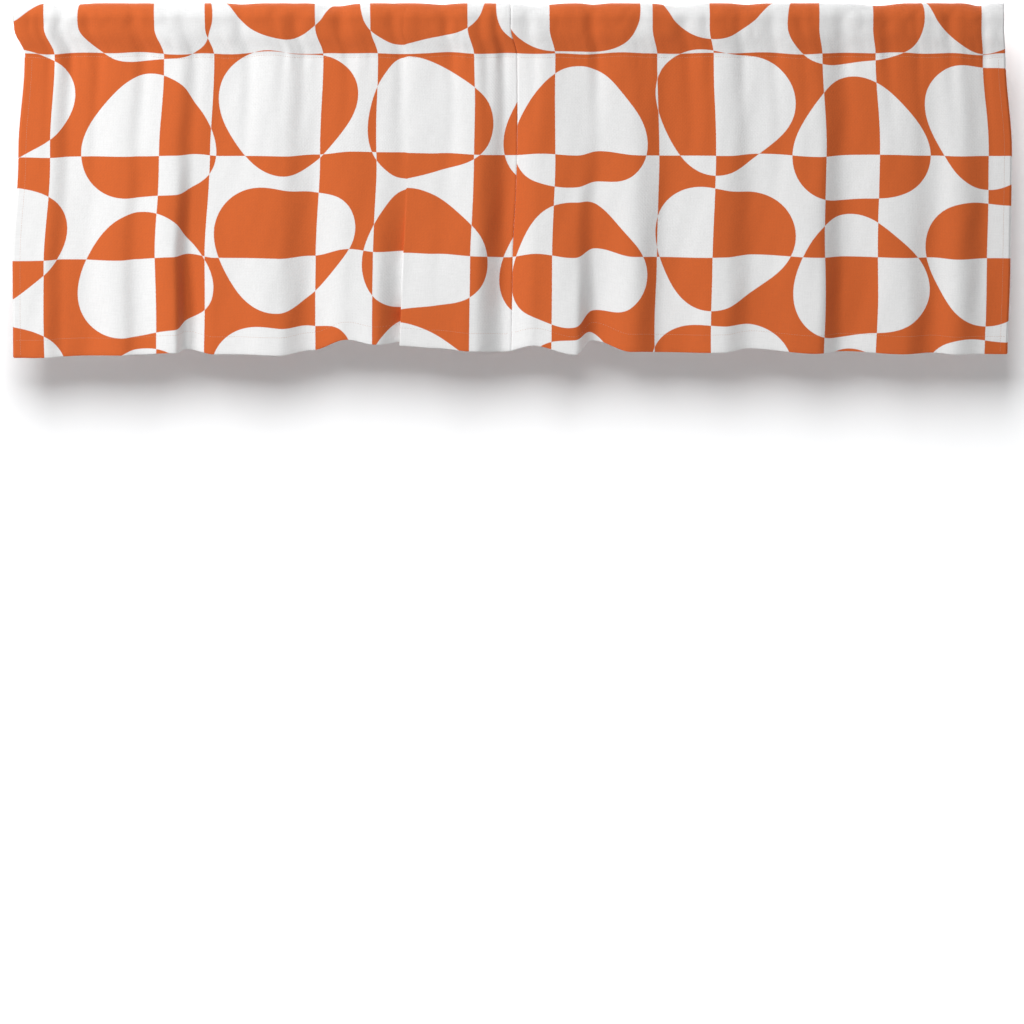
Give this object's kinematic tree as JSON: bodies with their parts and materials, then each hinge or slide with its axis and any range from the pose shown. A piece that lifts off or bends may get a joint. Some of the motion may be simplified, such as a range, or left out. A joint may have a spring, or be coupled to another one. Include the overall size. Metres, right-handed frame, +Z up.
{
  "type": "rod-pocket window valance",
  "caption": "Short window valance of printed cloth, sewn as a rod pocket with a loose skirt, gathered on a twist-lock spring tension rod.",
  "frame": {"origin": "centre of the left foot's bearing face, on the rod's axis", "axes": "+X along the rod to the right as seen from the room, -Y towards the room, +Z up"},
  "size_m": [1.3035, 0.029, 0.4621],
  "materials": {
    "printed_cloth": "matt woven polyester, orange and white print",
    "thread": "spun polyester sewing thread",
    "white_enamel": "satin white enamel on steel tube",
    "white_plastic": "moulded, satin",
    "grey_rubber": "moulded, matt",
    "black_nylon": "moulded, satin",
    "zinc_steel": "bright zinc plate",
    "spring_steel": "drawn wire, oiled"
  },
  "bodies": {
    "outer_rod": {"left_foot": "grey_rubber", "left_end_cap": "white_plastic", "outer_tube": "white_enamel", "mouth_sleeve": "white_plastic"},
    "lock": {"lock_collet": "black_nylon"},
    "twist": {"wedge": "zinc_steel", "spindle": "zinc_steel", "spring_seat": "zinc_steel", "compression_spring": "spring_steel", "stop_nut": "zinc_steel"},
    "inner_rod": {"guide_plug": "black_nylon", "inner_tube": "white_enamel", "right_end_cap": "white_plastic", "right_foot": "grey_rubber"},
    "valance": {"left_pocket": "printed_cloth", "right_pocket": "printed_cloth", "left_skirt": "printed_cloth", "right_skirt": "printed_cloth", "left_bottom_hem": "printed_cloth", "right_bottom_hem": "printed_cloth", "centre_seam": "printed_cloth", "left_pocket_stitching": "thread", "right_pocket_stitching": "thread", "left_hem_stitching": "thread", "right_hem_stitching": "thread"},
    "left_edge": {"left_side_hem": "printed_cloth", "left_side_stitching": "thread"},
    "right_edge": {"right_side_hem": "printed_cloth", "right_side_stitching": "thread"}
  },
  "joints": [
    {"name": "rod_telescope", "type": "slide", "parent": "outer_rod", "child": "lock", "axis": [1, 0, 0], "range_m": [-0.06, 0.85]},
    {"name": "lock_twist", "type": "hinge", "parent": "lock", "child": "twist", "pos_m": [0.112, 0, 0], "axis": [1, 0, 0], "range_deg": [-350, 0]},
    {"name": "spring_travel", "type": "slide", "parent": "twist", "child": "inner_rod", "axis": [1, 0, 0], "range_m": [-0.012, 0], "stiffness_N_per_m": 1500, "deforming": ["compression_spring"]},
    {"name": "valance_swing", "type": "hinge", "parent": "outer_rod", "child": "valance", "pos_m": [0, 0, 0], "axis": [1, 0, 0], "range_deg": [-80, 8]},
    {"name": "gather_left", "type": "slide", "parent": "valance", "child": "left_edge", "axis": [1, 0, 0], "range_m": [0, 0.3], "deforming": ["left_pocket", "left_skirt", "left_bottom_hem", "left_pocket_stitching", "left_hem_stitching", "centre_seam"]},
    {"name": "gather_right", "type": "slide", "parent": "valance", "child": "right_edge", "axis": [-1, 0, 0], "range_m": [0, 0.3], "deforming": ["right_pocket", "right_skirt", "right_bottom_hem", "right_pocket_stitching", "right_hem_stitching"]}
  ]
}
